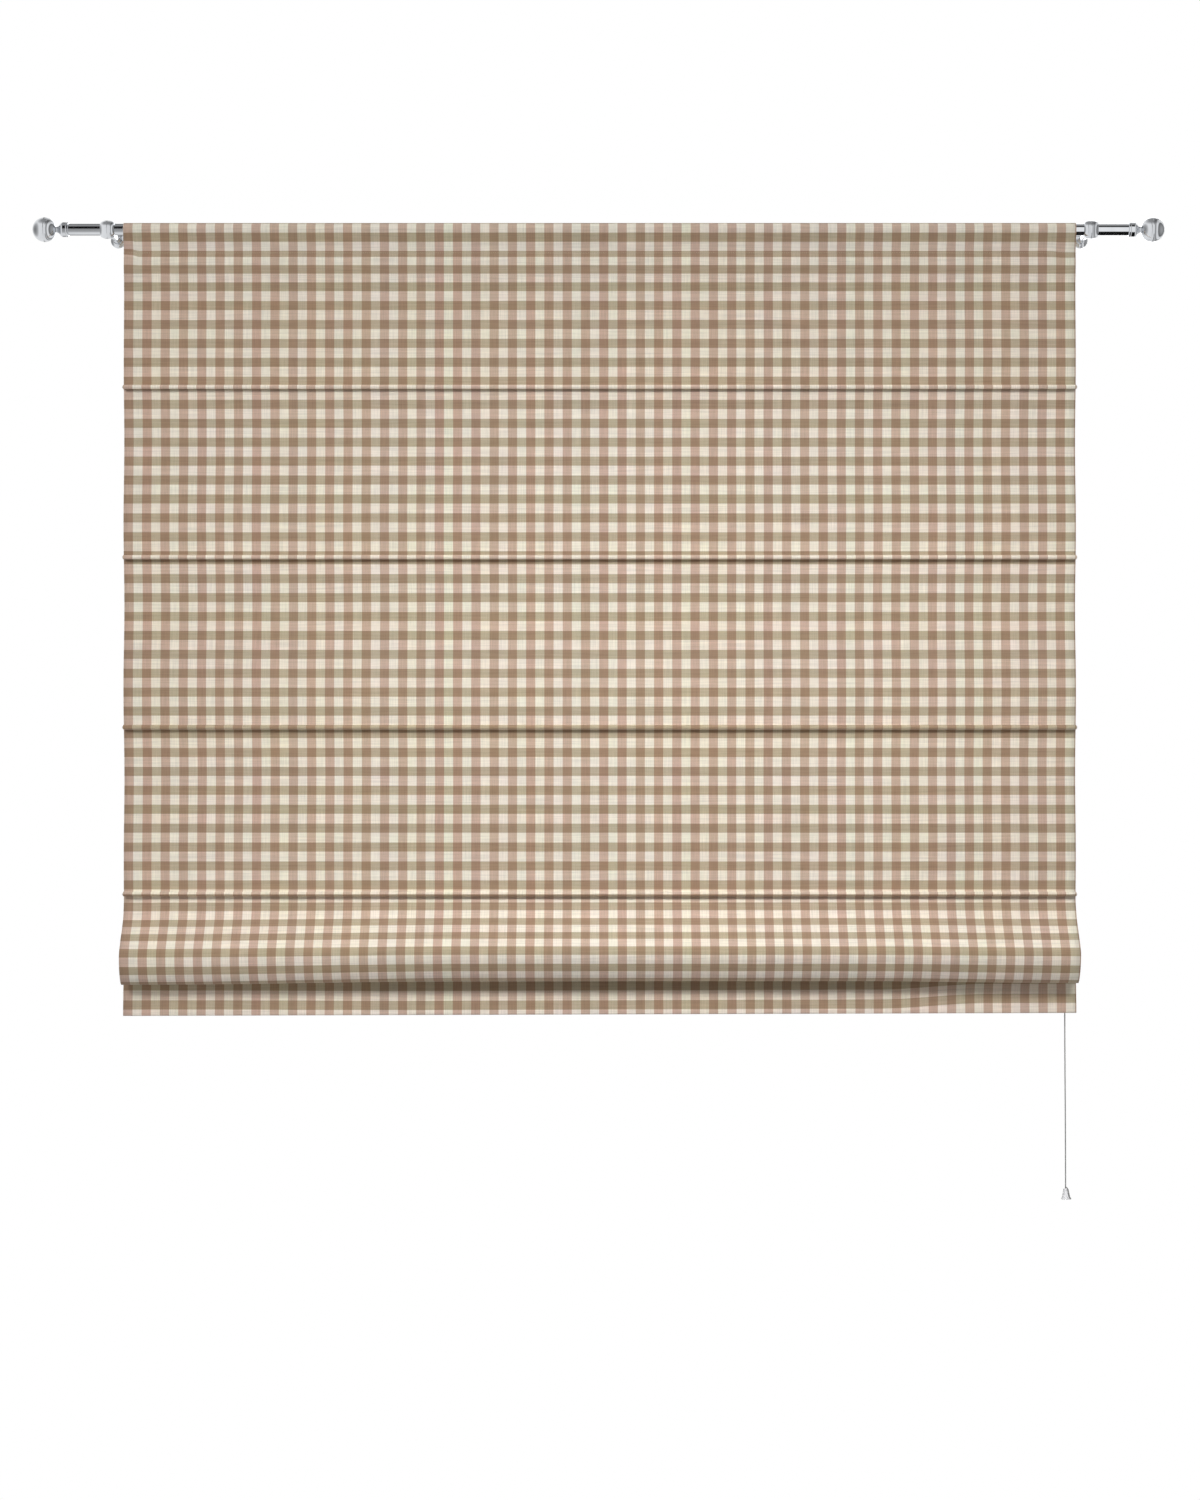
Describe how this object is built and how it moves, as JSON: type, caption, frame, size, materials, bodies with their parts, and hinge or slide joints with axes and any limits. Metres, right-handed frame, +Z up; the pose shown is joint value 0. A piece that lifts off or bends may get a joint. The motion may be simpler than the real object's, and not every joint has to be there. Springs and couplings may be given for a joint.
{
  "type": "roman blind on a curtain pole",
  "caption": "Woven check cloth roman blind with sewn tucks and a raised pleat, its top pocket over a round metal pole with ball ends and short wall brackets, and a side pull cord.",
  "frame": {"origin": "on the wall plane, midway between the two wall plates, at the height of the pole's axis", "axes": "+X along the pole to the right as seen from the room, +Y into the wall, +Z up; the cloth hangs down and the room is towards -Y"},
  "size_m": [1.859, 0.1827, 1.6139],
  "materials": {
    "cloth": "plain woven cotton check in cream and light brown",
    "rod": "white glass fibre rod",
    "chrome": "polished chrome plate",
    "plastic": "white moulded plastic",
    "cord": "pale grey twisted cord"
  },
  "bodies": {
    "root": {"blind_cloth": "cloth", "rod_1": "rod", "rod_2": "rod", "rod_3": "rod", "rod_4": "rod", "rod_5": "rod", "pole": "chrome", "finial_left": "chrome", "finial_right": "chrome", "ring_left": "chrome", "ring_right": "chrome", "arm_left": "chrome", "arm_right": "chrome", "wall_plate_left": "chrome", "wall_plate_right": "chrome", "cord_guide": "plastic", "draw_cord": "cord", "cord_pull": "plastic", "cord_knot": "cord"}
  },
  "joints": []
}
